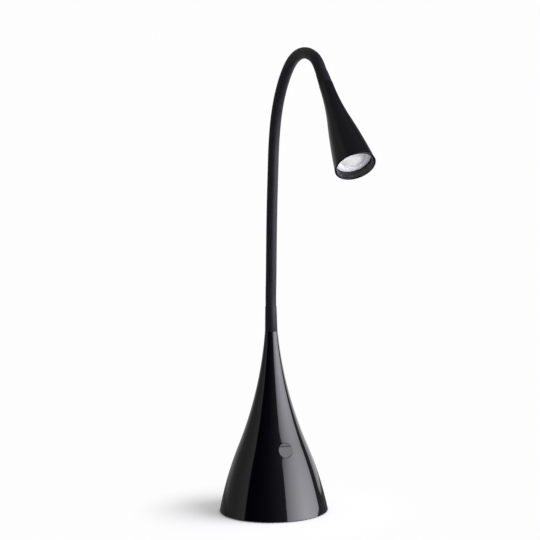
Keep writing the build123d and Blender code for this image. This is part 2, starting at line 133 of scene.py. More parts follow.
class Graph:
    """A node tree while it is built. Every node comes from its `node` method."""

    def __init__(self, tree: bpy.types.NodeTree) -> None:
        """Takes over an empty tree."""
        self.tree = tree
        tree.nodes.clear()

    def _feed(self, inputs: Any, sockets: dict) -> None:
        """Sets or links some of a node's inputs, by name or place.

        Args:
            inputs: The node's inputs.
            sockets: What each of them takes: a number, colour or link.
        """
        for place, given in sockets.items():
            source = given.socket if isinstance(given, Value) else given
            if isinstance(source, bpy.types.NodeSocket):
                self.tree.links.new(source, inputs[place])
            else:
                inputs[place].default_value = source

    def node(
        self, kind: str, settings: Optional[Settings] = None, sockets: Optional[dict] = None
    ) -> bpy.types.Node:
        """Adds a node.

        Args:
            kind: The node's type.
            settings: Its properties, set before its sockets.
            sockets: What each input socket, by name or place, takes: a number, colour or link.

        Returns:
            The node.
        """
        node = self.tree.nodes.new(kind)
        for name, setting in (settings or {}).items():
            setattr(node, name, setting)
        self._feed(node.inputs, sockets or {})
        return node

    def value(self, kind: str, settings: Settings, sockets: dict, output: Any = 0) -> Value:
        """Adds a node and gives one of its outputs as a number.

        Args:
            kind: The node's type.
            settings: Its properties.
            sockets: What its input sockets take.
            output: The output's name or place.

        Returns:
            The output.
        """
        return Value(self, self.node(kind, settings, sockets).outputs[output])

    def maths(self, operation: str, *numbers: Number) -> Value:
        """Adds a Math node on some numbers."""
        return self.value("ShaderNodeMath", {"operation": operation}, dict(enumerate(numbers)))

    def vector(self, operation: str, *given: Any) -> bpy.types.NodeSocket:
        """Adds a Vector Math node that gives a vector."""
        settings = {"operation": operation}
        return self.node("ShaderNodeVectorMath", settings, dict(enumerate(given))).outputs["Vector"]

    def measure(self, operation: str, *given: Any) -> Value:
        """Adds a Vector Math node that gives a number."""
        settings = {"operation": operation}
        return self.value("ShaderNodeVectorMath", settings, dict(enumerate(given)), "Value")

    def part(self, vector: bpy.types.NodeSocket, axis: str) -> Value:
        """One coordinate of a vector."""
        return self.value("ShaderNodeSeparateXYZ", {}, {0: vector}, axis)

    def here(self) -> bpy.types.NodeSocket:
        """Object coordinates of the point that is shaded."""
        return self.node("ShaderNodeTexCoord").outputs["Object"]

    def mix(self, share: Any, first: Any, second: Any) -> bpy.types.NodeSocket:
        """Mixes two shaders, with the share of the second one."""
        return self.node("ShaderNodeMixShader", {}, {0: share, 1: first, 2: second}).outputs[0]

    def glow(self, sockets: dict) -> bpy.types.NodeSocket:
        """Adds an Emission shader."""
        return self.node("ShaderNodeEmission", {}, sockets).outputs[0]

    def blend(self, share: Number, low: Any, high: Any) -> bpy.types.NodeSocket:
        """Mixes two colours.

        Args:
            share: How much of the second colour shows.
            low: First colour, as numbers or a link.
            high: Second colour.

        Returns:
            The mixed colour's socket.
        """
        node = self.node("ShaderNodeMix", {"data_type": "RGBA"})
        inputs = {s.name: s for s in node.inputs if s.enabled}
        self._feed(inputs, {"Factor": share, "A": low, "B": high})
        return next(s for s in node.outputs if s.enabled)


def solid(colour: Colour) -> tuple[float, float, float, float]:
    """The colour with full opacity."""
    return (*colour, 1.0)


def grey(level: float) -> tuple[float, float, float, float]:
    """A grey with full opacity."""
    return (level, level, level, 1.0)


# Finishes

EVEN = (1.0, 1.0, 1.0)


class Relief(Enum):
    """Kinds of fine relief, by how far the pattern is stretched along X, Y and Z."""

    PEEL = EVEN
    GRAIN = (1.0, 1.0, 0.8)
    DRAWN = (1.0, 1.0, 0.04)
    SPUN = (0.08, 0.08, 1.0)


@dataclass(frozen=True)
class Finish:
    """A surface finish with fine relief, uneven gloss, slight shifts of colour and scratches."""

    slot: str
    colour: Colour
    roughness: float
    metallic: float = 0.0
    gloss_level: float = 0.5
    coat: float = 0.0
    relief: Relief = Relief.GRAIN
    relief_size: float = 0.8 * MM
    relief_depth: float = 0.01 * MM
    relief_detail: float = 2.0
    colour_shift: float = 0.12
    colour_edges: Point = (0.3, 0.7)
    roughness_shift: float = 0.08
    wear_edges: Point = (0.35, 0.75)
    patch_size: float = 14 * MM
    patch_detail: float = 3.0
    scratches: float = 0.03
    scratch_size: float = 0.5 * MM
    upright_stretch: Place = (1.0, 1.0, 0.03)
    upright_edges: Point = (0.70, 0.76)
    slanting_stretch: Place = (0.05, 0.4, 1.0)
    slanting_edges: Point = (0.71, 0.77)

    def noise(self, graph: Graph, size: float, stretch: Sequence[float], detail: float) -> Value:
        """Adds a noise on object coordinates.

        Args:
            graph: The material's graph.
            size: Size of the pattern in metres.
            stretch: How far the pattern's frequency is scaled along X, Y and Z.
            detail: Number of finer layers.

        Returns:
            The noise, about 0.5.
        """
        scaled = graph.node("ShaderNodeMapping", {}, {"Vector": graph.here(), "Scale": tuple(stretch)})
        sockets = {"Vector": scaled.outputs[0], "Scale": 1 / size, "Detail": detail}
        return graph.value("ShaderNodeTexNoise", {}, sockets, "Fac")

    def scratch_mask(self, graph: Graph) -> Value:
        """Thin streaks in two directions, 1 inside a scratch.

        Args:
            graph: The material's graph.

        Returns:
            The mask.
        """
        upright = self.noise(graph, self.scratch_size, self.upright_stretch, 0.0)
        slanting = self.noise(graph, self.scratch_size, self.slanting_stretch, 0.0)
        return upright.step(*self.upright_edges) + slanting.step(*self.slanting_edges)

    def tint(self, graph: Graph, patches: Value) -> Any:
        """Colour of the surface: the finish's own, a little darker or lighter in patches.

        Args:
            graph: The material's graph.
            patches: Noise that sets the patches.

        Returns:
            The colour's socket.
        """
        low = tuple(c * (1 - self.colour_shift) for c in self.colour)
        high = tuple(c * (1 + self.colour_shift) for c in self.colour)
        return graph.blend(patches.step(*self.colour_edges), solid(low), solid(high))

    def wear(self, graph: Graph, patches: Value) -> Number:
        """Roughness that is added where the surface has been handled."""
        return patches.step(*self.wear_edges) * self.roughness_shift

    def height(self, graph: Graph) -> Value:
        """Height of the relief, about 0.5."""
        return self.noise(graph, self.relief_size, self.relief.value, self.relief_detail)

    def shader(self, graph: Graph) -> bpy.types.NodeSocket:
        """Builds the surface's shader.

        Args:
            graph: The material's graph.

        Returns:
            The shader's output socket.
        """
        patches = self.noise(graph, self.patch_size, EVEN, self.patch_detail)
        roughness = self.wear(graph, patches) + self.roughness
        roughness = roughness + self.scratch_mask(graph) * self.scratches
        bump = {"Height": self.height(graph), "Distance": self.relief_depth, "Strength": 1.0}
        sockets = {
            "Base Color": self.tint(graph, patches),
            "Roughness": roughness,
            "Metallic": self.metallic,
            "Specular IOR Level": self.gloss_level,
            "Coat Weight": self.coat,
            "Normal": graph.node("ShaderNodeBump", {}, bump).outputs[0],
        }
        return graph.node("ShaderNodeBsdfPrincipled", {}, sockets).outputs[0]

    def material(self) -> bpy.types.Material:
        """The finish as a material, made once."""
        name = f"finish_{self.slot}"
        made = bpy.data.materials.get(name)
        if made is None:
            made = bpy.data.materials.new(name)
            made.use_nodes = True
            graph = Graph(made.node_tree)
            graph.node("ShaderNodeOutputMaterial", {}, {"Surface": self.shader(graph)})
        return made


@dataclass(frozen=True)
class HandledGloss(Finish):
    """Polished black plastic with finger marks round a spot and dust near the foot."""

    relief: Relief = Relief.PEEL
    relief_size: float = 5 * MM
    relief_depth: float = 0.002 * MM
    touched: Place = (0.0, 0.0, 0.0)
    touched_radius: float = 22 * MM
    touched_core: float = 0.3
    ridge_size: float = 0.45 * MM
    ridge_stretch: Place = (1.0, 0.3, 1.0)
    ridge_edges: Point = (0.45, 0.6)
    mark_roughness: float = 0.05
    dust_height: float = 12 * MM
    dust_roughness: float = 0.06
    speck_size: float = 0.35 * MM
    speck_edges: Point = (0.6, 0.7)
    mark_detail: float = 1.0

    def wear(self, graph: Graph, patches: Value) -> Number:
        """Roughness that is added by finger marks and dust.

        Args:
            graph: The material's graph.
            patches: Noise that breaks up the marks.

        Returns:
            The added roughness.
        """
        place = graph.here()
        distance = graph.measure("DISTANCE", place, self.touched)
        near = 1 - distance.step(self.touched_radius * self.touched_core, self.touched_radius)
        ridges = self.noise(graph, self.ridge_size, self.ridge_stretch, self.mark_detail)
        ridges = ridges.step(*self.ridge_edges)
        marks = near * ridges * patches.step(*self.ridge_edges) * self.mark_roughness
        low = 1 - graph.part(place, "Z").step(0.0, self.dust_height)
        specks = self.noise(graph, self.speck_size, EVEN, self.mark_detail)
        dust = low * specks.step(*self.speck_edges) * self.dust_roughness
        return Finish.wear(self, graph, patches) + marks + dust


@dataclass(frozen=True)
class SleeveSatin(Finish):
    """Matt extruded sleeve: fine grain, faint draw lines and patches of uneven roughness."""

    line_size: float = 0.6 * MM
    line_stretch: Place = (0.05, 0.05, 1.0)
    line_share: float = 0.35

    def height(self, graph: Graph) -> Value:
        """Grain with faint lines round the sleeve."""
        grain = Finish.height(self, graph)
        return grain + self.noise(graph, self.line_size, self.line_stretch, 0.0) * self.line_share


@dataclass(frozen=True)
class FrostedOpal(Finish):
    """Opal diffuser, etched with fine rings round the head's axis, with painted shade greying it towards
    its rim.
    """

    axis_point: Place = (0.0, 0.0, 0.0)
    axis: Place = (0.0, 0.0, 1.0)
    ring_pitch: float = 0.5 * MM
    ring_share: float = 0.4
    rim_shade_radius: float = 11 * MM
    rim_shade_start: float = 0.55
    rim_shade_share: float = 0.6
    rim_shade_colour: Colour = (0.62, 0.62, 0.64)

    def distance(self, graph: Graph) -> Value:
        """Distance from the head's axis in metres."""
        offset = graph.vector("SUBTRACT", graph.here(), self.axis_point)
        return graph.measure("LENGTH", graph.vector("CROSS_PRODUCT", offset, self.axis))

    def tint(self, graph: Graph, patches: Value) -> Any:
        """Colour with painted shade: it greys a little towards the rim, where the ring's recess shades the
        disc.

        Args:
            graph: The material's graph.
            patches: Noise that sets the patches.

        Returns:
            The colour's socket.
        """
        # Painted shade: the disc greys towards its rim, where the recess round it falls in shade.
        rim = self.distance(graph).step(self.rim_shade_radius * self.rim_shade_start, self.rim_shade_radius)
        middle = Finish.tint(self, graph, patches)
        return graph.blend(rim * self.rim_shade_share, middle, solid(self.rim_shade_colour))

    def height(self, graph: Graph) -> Value:
        """Etched rings over a fine grain."""
        turns = self.distance(graph) * (2 * math.pi / self.ring_pitch)
        return Finish.height(self, graph) + graph.maths("SINE", turns) * self.ring_share


@dataclass(frozen=True)
class TrackedLaminate(Finish):
    """Circuit board under green lacquer, with lighter copper tracks."""

    track_pitch: float = 3 * MM
    track_scatter: float = 0.6
    track_edges: Point = (0.06, 0.10)
    track_colour: Colour = (0.05, 0.22, 0.08)

    def tint(self, graph: Graph, patches: Value) -> Any:
        """Lacquer colour, lighter along the tracks.

        Args:
            graph: The material's graph.
            patches: Noise that sets the patches.

        Returns:
            The colour's socket.
        """
        scatter = {"Scale": 1 / self.track_pitch, "Randomness": self.track_scatter}
        settings, sockets = {"feature": "DISTANCE_TO_EDGE"}, {"Vector": graph.here(), **scatter}
        gap = graph.value("ShaderNodeTexVoronoi", settings, sockets, "Distance")
        tracks = 1 - gap.step(*self.track_edges)
        return graph.blend(tracks, Finish.tint(self, graph, patches), solid(self.track_colour))


# Outlines, paths and the tree that carries one round the other


@dataclass(frozen=True)
class Trumpet:
    """Turned wall of two arcs that are tangent to each other at its waist."""

    foot_radius: float
    waist_radius: float
    waist_height: float
    waist_lean: float
    top_radius: float
    top_height: float

    def arc(self, height: float, inset: float) -> tuple[float, float, float]:
        """Arc that the wall follows at a height.

        Args:
            height: Height above the foot.
            inset: Distance inside the outer surface.

        Returns:
            The radius and height of the arc's centre, and the arc's radius, positive if hollow.
        """
        lean = math.radians(self.waist_lean)
        above = height > self.waist_height - inset * math.sin(lean)
        end = (self.top_radius, self.top_height) if above else (self.foot_radius, 0.0)
        across, up = end[0] - self.waist_radius, end[1] - self.waist_height
        swing = (across**2 + up**2) / (2 * (across * math.cos(lean) + up * math.sin(lean)))
        centre_radius = self.waist_radius + swing * math.cos(lean)
        return centre_radius, self.waist_height + swing * math.sin(lean), swing + inset

    def radius_at(self, height: float, inset: float = 0.0) -> float:
        """Radius of the wall, or of a surface inside it, at a height."""
        centre_radius, centre_height, swing = self.arc(height, inset)
        return centre_radius - math.copysign(math.sqrt(swing**2 - (height - centre_height) ** 2), swing)

    def lean_at(self, height: float) -> float:
        """Angle between the outer surface and the axis at a height, in radians."""
        _, centre_height, swing = self.arc(height, 0.0)
        return math.asin((centre_height - height) / swing)

    def run(self, start: float, end: float, spacing: float, inset: float = 0.0) -> list[Corner]:
        """Outline points along the wall.

        Args:
            start: Height of the first point.
            end: Height of the last point.
            spacing: Rough distance between points.
            inset: Distance inside the outer surface.

        Returns:
            The points, with no rounding.
        """
        count = max(2, round(abs(end - start) / spacing))
        heights = [start + (end - start) * i / count for i in range(count + 1)]
        return [(self.radius_at(h, inset), h, 0.0) for h in heights]


def rounded(corners: Sequence[Corner], closed: bool = True, steps: int = 5) -> list[Point]:
    """Rounds an outline's corners.

    Args:
        corners: Radius, length along the path and rounding of each corner.
        closed: Whether the last corner joins the first.
        steps: Number of straight steps in each rounding.

    Returns:
        The outline's points, the first repeated at the end where it is closed.
    """
    points: list[Point] = []
    for i, (radius, length, rounding) in enumerate(corners):
        here = Vector((radius, length))
        if not rounding:
            points.append((radius, length))
            continue
        before = (Vector(corners[i - 1][:2]) - here).normalized()
        after = (Vector(corners[(i + 1) % len(corners)][:2]) - here).normalized()
        half = before.angle(after) / 2
        centre = here + (before + after).normalized() * (rounding / math.sin(half))
        first = here + before * (rounding / math.tan(half)) - centre
        last = here + after * (rounding / math.tan(half)) - centre
        swing = first.angle_signed(last)
        for k in range(steps + 1):
            points.append(tuple(centre + Matrix.Rotation(-swing * k / steps, 2) @ first))
    return points + points[:1] if closed else points


@dataclass(frozen=True)
class Path:
    """A line in a plane of constant X: straight or bent in tangent arcs towards -Y."""

    STRAIGHT = 1e-9

    start: Vector
    heading: float
    lengths: tuple[float, ...]
    bends: tuple[float, ...]

    def at(self, length: float) -> tuple[Vector, float]:
        """A place on the path.

        Args:
            length: Distance along the path, which runs on straight past both ends.

        Returns:
            The point, and the heading there in radians from +Z towards -Y.
        """
        point, heading = self.start.copy(), self.heading
        left = length
        if left > 0:
            for run, bend in zip(self.lengths, self.bends):
                share = min(1.0, left / run)
                turned = heading + math.radians(bend) * share
                if abs(turned - heading) > self.STRAIGHT:
                    radius = run * share / (turned - heading)
                    across = math.cos(turned) - math.cos(heading)
                    up = math.sin(turned) - math.sin(heading)
                    point += Vector((0.0, across, up)) * radius
                else:
                    point += self.direction(heading) * run * share
                heading, left = turned, left - run
                if left <= 0:
                    return point, heading
        return point + self.direction(heading) * left, heading

    @staticmethod
    def direction(heading: float) -> Vector:
        """Unit vector of a heading."""
        return Vector((0.0, -math.sin(heading), math.cos(heading)))

    def frame_at(self, length: float) -> Matrix:
        """Place on the path with Z along it and X kept."""
        point, heading = self.at(length)
        return Matrix.Translation(point) @ Matrix.Rotation(heading, 4, "X")


def straight(start: Vector, towards: Vector, length: float) -> Path:
    """Straight path from a point towards another, in a plane of constant X."""
    way = towards - start
    return Path(start, math.atan2(-way.y, way.z), (length,), (0.0,))


class TurningTree:
    """Geometry Nodes tree that carries an outline round a path and dresses the result."""

    INPUTS = (
        ("Outline", "NodeSocketObject"),
        ("Path", "NodeSocketObject"),
        ("Rows", "NodeSocketInt"),
        ("Segments", "NodeSocketInt"),
        ("Crease Angle", "NodeSocketFloat"),
        ("Finish", "NodeSocketMaterial"),
    )
    WELD = 0.002 * MM

    def __init__(self) -> None:
        """Builds the tree once for all pieces."""
        self.tree = bpy.data.node_groups.new("carry_outline_round_path", "GeometryNodeTree")
        face = self.tree.interface
        self.sockets = {
            name: face.new_socket(name=name, in_out="INPUT", socket_type=kind).identifier
            for name, kind in self.INPUTS
        }
        face.new_socket(name="Geometry", in_out="OUTPUT", socket_type="NodeSocketGeometry")
        graph = Graph(self.tree)
        given = graph.node("NodeGroupInput").outputs
        mesh = self._place(graph, given, self._grid(graph, given))
        weld = {"Geometry": mesh, "Distance": self.WELD}
        welded = graph.node("GeometryNodeMergeByDistance", {}, weld).outputs[0]
        shaded = self._crease(graph, given, welded)
        real = graph.node("GeometryNodeRealizeInstances", {}, {"Geometry": shaded}).outputs[0]
        sockets = {"Geometry": real, "Material": given["Finish"]}
        dressed = graph.node("GeometryNodeSetMaterial", {}, sockets).outputs[0]
        graph.node("NodeGroupOutput", {}, {0: dressed})

    @staticmethod
    def _grid(graph: Graph, given: Any) -> bpy.types.NodeSocket:
        """Grid with a row for each outline point, whose X and Y count rows and columns.

        Args:
            graph: The tree's graph.
            given: The tree's inputs.

        Returns:
            The grid.
        """
        rows, segments = Value(graph, given["Rows"]), Value(graph, given["Segments"])
        size = {"Size X": rows - 1, "Size Y": segments}
        sockets = {**size, "Vertices X": rows, "Vertices Y": segments + 1}
        return graph.node("GeometryNodeMeshGrid", {}, sockets).outputs["Mesh"]

    @staticmethod
    def _place(graph: Graph, given: Any, mesh: bpy.types.NodeSocket) -> bpy.types.NodeSocket:
        """Moves each grid point to its outline point, turned about the path.

        Args:
            graph: The tree's graph.
            given: The tree's inputs.
            mesh: The grid.

        Returns:
            The placed mesh.
        """
        here = graph.node("GeometryNodeInputPosition").outputs[0]
        rows, segments = Value(graph, given["Rows"]), Value(graph, given["Segments"])
        row = graph.maths("ROUND", graph.part(here, "X") + (rows - 1) * 0.5)
        column = graph.part(here, "Y") + segments * 0.5
        outline, path = (
            graph.node("GeometryNodeObjectInfo", {}, {"Object": given[name]}).outputs["Geometry"]
            for name in ("Outline", "Path")
        )
        settings = {"data_type": "FLOAT_VECTOR", "domain": "POINT"}
        sockets = {"Geometry": outline, "Value": here, "Index": row}
        corner = graph.node("GeometryNodeSampleIndex", settings, sockets).outputs["Value"]
        radius = graph.part(corner, "X")
        sockets = {"Curves": path, "Length": graph.part(corner, "Z")}
        on_path = graph.node("GeometryNodeSampleCurve", {"mode": "LENGTH"}, sockets).outputs
        side = graph.node("ShaderNodeCombineXYZ", {}, {"X": 1.0}).outputs[0]
        up = graph.vector("CROSS_PRODUCT", on_path["Tangent"], side)
        angle = column / segments * (2 * math.pi)
        across = graph.vector("MULTIPLY", side, graph.maths("COSINE", angle) * radius)
        along = graph.vector("MULTIPLY", up, graph.maths("SINE", angle) * radius)
        place = graph.vector("ADD", on_path["Position"], graph.vector("ADD", across, along))
        sockets = {"Geometry": mesh, "Position": place}
        return graph.node("GeometryNodeSetPosition", {}, sockets).outputs[0]

    @staticmethod
    def _crease(graph: Graph, given: Any, mesh: bpy.types.NodeSocket) -> bpy.types.NodeSocket:
        """Shades smooth all but the edges that fold more than the crease angle.

        Args:
            graph: The tree's graph.
            given: The tree's inputs.
            mesh: The mesh.

        Returns:
            The shaded mesh.
        """
        shade = "GeometryNodeSetShadeSmooth"
        smooth = graph.node(shade, {"domain": "FACE"}, {"Geometry": mesh}).outputs[0]
        fold = graph.value("GeometryNodeInputMeshEdgeAngle", {}, {}, "Unsigned Angle")
        sharp = graph.maths("GREATER_THAN", fold, Value(graph, given["Crease Angle"]))
        sockets = {"Geometry": smooth, "Selection": sharp, "Shade Smooth": False}
        return graph.node(shade, {"domain": "EDGE"}, sockets).outputs[0]


class Workshop:
    """Makes pieces: turns outlines, bores holes, and seats the results on the frame."""

    CREASE_ANGLE = math.radians(35)
    PATH_STEP = 0.5 * MM
    CUTTER_LENGTH = 30 * MM
    CUTTER_SEGMENTS = 128
    WALL_ROOM = 0.003 * MM
    SAME_WAY = 0.9

    def __init__(self) -> None:
        """Sets up the turning tree."""
        self.turning = TurningTree()

    @staticmethod
    def link(name: str, data: Any) -> bpy.types.Object:
        """Adds an object to the scene.

        Args:
            name: The object's name.
            data: Its mesh, curve, light or camera.

        Returns:
            The object.
        """
        made = bpy.data.objects.new(name, data)
        bpy.context.scene.collection.objects.link(made)
        return made

    def outline_object(self, points: Sequence[Point]) -> bpy.types.Object:
        """Helper whose points hold an outline: the radius in X and the length in Z.

        Args:
            points: The outline, as radius and length.

        Returns:
            The helper's object.
        """
        mesh = bpy.data.meshes.new("outline")
        edges = [(i, i + 1) for i in range(len(points) - 1)]
        mesh.from_pydata([(r, 0.0, s) for r, s in points], edges, [])
        return self.link("outline", mesh)

    def path_object(self, path: Path, start: float, end: float) -> bpy.types.Object:
        """Helper curve along a stretch of a path.

        Args:
            path: The path.
            start: Length along the path where the curve starts.
            end: Length where it ends.

        Returns:
            The curve's object.
        """
        count = max(2, round((end - start) / self.PATH_STEP) + 1)
        curve = bpy.data.curves.new("path", "CURVE")
        curve.dimensions = "3D"
        spline = curve.splines.new("POLY")
        spline.points.add(count - 1)
        for i, point in enumerate(spline.points):
            point.co = (*path.at(start + (end - start) * i / (count - 1))[0], 1.0)
        return self.link("path", curve)

    def turn(
        self, name: str, path: Path, points: Sequence[Point], finish: Finish, segments: int
    ) -> bpy.types.Object:
        """Turns an outline about a path.

        Args:
            name: The piece's name.
            path: What the outline is carried round.
            points: The outline, as radius and length along the path.
            finish: The piece's finish.
            segments: Number of steps round the path.

        Returns:
            The piece, as a plain mesh in place.
        """
        low = min(s for _, s in points)
        high = max(s for _, s in points)
        helpers = [
            self.outline_object([(r, s - low) for r, s in points]),
            self.path_object(path, low, high),
        ]
        piece = self.link(name, bpy.data.meshes.new(name))
        carried = piece.modifiers.new("turn", "NODES")
        carried.node_group = self.turning.tree
        given = {
            "Outline": helpers[0],
            "Path": helpers[1],
            "Rows": len(points),
            "Segments": segments,
            "Crease Angle": self.CREASE_ANGLE,
            "Finish": finish.material(),
        }
        for label, setting in given.items():
            carried[self.turning.sockets[label]] = setting
        self.bake(piece)
        for helper in helpers:
            bpy.data.objects.remove(helper)
        self.face_outwards(piece.data)
        return piece

    @staticmethod
    def bake(piece: bpy.types.Object) -> None:
        """Turns a piece's modifiers into a plain mesh.

        Args:
            piece: The piece, which keeps its name.
        """
        bpy.context.view_layer.update()
        evaluated = piece.evaluated_get(bpy.context.evaluated_depsgraph_get())
        baked = bpy.data.meshes.new_from_object(evaluated)
        piece.modifiers.clear()
        piece.data = baked
        baked.name = piece.name

    @staticmethod
    def face_outwards(mesh: bpy.types.Mesh) -> None:
        """Flips a closed mesh whose faces point inwards.

        Args:
            mesh: The mesh.
        """
        work = bmesh.new()
        work.from_mesh(mesh)
        if work.calc_volume(signed=True) < 0:
            bmesh.ops.reverse_faces(work, faces=work.faces)
        work.to_mesh(mesh)
        work.free()

    def bore(self, piece: bpy.types.Object, place: Matrix, radius: float) -> None:
        """Cuts a round hole.

        Args:
            piece: The piece that is cut.
            place: Middle of the hole, with Z along it.
            radius: The hole's radius.
        """
        mesh = bpy.data.meshes.new("cutter")
        work = bmesh.new()
        size = {"radius1": radius, "radius2": radius, "depth": self.CUTTER_LENGTH}
        bmesh.ops.create_cone(work, cap_ends=True, segments=self.CUTTER_SEGMENTS, matrix=place, **size)
        work.to_mesh(mesh)
        work.free()
        cutter = self.link("cutter", mesh)
        cut = piece.modifiers.new("bore", "BOOLEAN")
        cut.operation, cut.solver, cut.object = "DIFFERENCE", "EXACT", cutter
        self.bake(piece)
        bpy.data.objects.remove(cutter)

    def polish(self, mesh: bpy.types.Mesh, wall: Trumpet) -> None:
        """Gives a wall that is turned about Z its exact normals, so that it mirrors cleanly.

        Args:
            mesh: Mesh turned about Z.
            wall: The wall that the mesh follows.
        """
        places = np.empty(len(mesh.vertices) * 3, np.float32)
        mesh.vertices.foreach_get("co", places)
        places = places.reshape(-1, 3).astype(float)
        normals = np.zeros_like(places)
        on_wall = np.zeros(len(places), bool)
        for i, (x, y, z) in enumerate(places):
            radius = math.hypot(x, y)
            if 0 <= z <= wall.top_height and abs(radius - wall.radius_at(z)) < self.WALL_ROOM:
                lean = wall.lean_at(z)
                normals[i] = (x / radius * math.cos(lean), y / radius * math.cos(lean), math.sin(lean))
                on_wall[i] = True
        corners = np.zeros((len(mesh.loops), 3))
        for polygon in mesh.polygons:
            around = [mesh.loops[i].vertex_index for i in polygon.loop_indices]
            facing = np.dot(normals[around[0]], polygon.normal)
            if on_wall[around].all() and facing > self.SAME_WAY:
                corners[list(polygon.loop_indices)] = normals[around]
        mesh.normals_split_custom_set(corners.tolist())

    @staticmethod
    def seat(piece: bpy.types.Object, body: str, *nodes: str) -> None:
        """Makes a piece ride on a body in place of some CAD nodes, and reports it.

        Args:
            piece: The piece.
            body: The body that it rides on.
            nodes: Names of the CAD nodes that it stands for.
        """
        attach(piece, body)
        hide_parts(*nodes)
        LOG.info("%s rides on %s: %d faces", piece.name, body, len(piece.data.polygons))


# The lamp's sub-assemblies


SATIN_BLACK = (0.0082, 0.0079, 0.0106)
GLOSS_BLACK = HandledGloss(
    slot="base_gloss",
    colour=(0.0013, 0.0012, 0.0024),
    roughness=0.045,
    roughness_shift=0.02,
    scratches=0.05,
    touched=(0.0, -34 * MM, 67 * MM),
)


@dataclass(frozen=True)
class Palette:
    """The finish of every material slot, by slot name."""

    mouth: Vector
    axis: Vector

    def finishes(self) -> dict[str, Finish]:
        """All finishes, by the record's slot."""
        head = replace(GLOSS_BLACK, slot="head_gloss", touched=tuple(self.mouth), dust_roughness=0.0)
        button = replace(
            GLOSS_BLACK, slot="button_gloss", colour=(0.004, 0.004, 0.0045), mark_roughness=0.12
        )
        opal = FrostedOpal(
            slot="diffuser_frost",
            colour=(0.86, 0.86, 0.84),
            roughness=0.45,
            axis_point=tuple(self.mouth),
            axis=tuple(self.axis),
        )
        laminate = TrackedLaminate("board_laminate", (0.02, 0.12, 0.04), 0.35, coat=0.3)
        sleeve = SleeveSatin("neck_sleeve", SATIN_BLACK, 0.48, gloss_level=0.3)
        spun = partial(Finish, metallic=1.0, relief=Relief.SPUN)
        plain = (
            Finish(
                "cover_plastic", (0.012, 0.012, 0.013), 0.5, relief_size=0.5 * MM, relief_depth=0.02 * MM
            ),
            Finish("foot_rubber", (0.02, 0.02, 0.021), 0.85, relief_size=0.4 * MM, gloss_level=0.3),
            Finish("gland_rubber", (0.015, 0.015, 0.016), 0.7, relief_size=0.4 * MM, gloss_level=0.35),
            Finish("collar_paint", SATIN_BLACK, 0.42, gloss_level=0.25, scratches=0.06),
            spun("neck_steel", (0.56, 0.55, 0.53), 0.32, scratches=0.12),
            spun("screw_steel", (0.58, 0.57, 0.55), 0.3, scratches=0.15),
            spun("fitting_brass", (0.75, 0.52, 0.22), 0.28, scratches=0.12),
            Finish("sink_aluminium", (0.72, 0.73, 0.74), 0.38, 1.0, relief=Relief.DRAWN, scratches=0.1),
            Finish("led_board_aluminium", (0.82, 0.82, 0.80), 0.45, 0.2, relief=Relief.GRAIN),
            spun("reflector_chrome", (0.86, 0.87, 0.88), 0.08, relief_depth=0.002 * MM),
            Finish(
                "ballast_iron", (0.09, 0.085, 0.08), 0.72, 0.6, relief_size=1.6 * MM, relief_depth=0.12 * MM
            ),
            Finish("lead_pvc", (0.62, 0.61, 0.58), 0.5, relief=Relief.DRAWN),
            Finish("switch_plastic", (0.05, 0.05, 0.052), 0.45, relief_size=0.4 * MM),
            Finish("component_plastic", (0.08, 0.09, 0.10), 0.42, relief_size=0.6 * MM),
            Finish("led_phosphor", (0.86, 0.66, 0.12), 0.5, relief_size=0.2 * MM, colour_shift=0.06),
            Finish("ring_white", (0.74, 0.75, 0.78), 0.32, relief_size=0.5 * MM, colour_shift=0.03),
        )
        return {f.slot: f for f in (GLOSS_BLACK, head, button, opal, laminate, sleeve, *plain)}


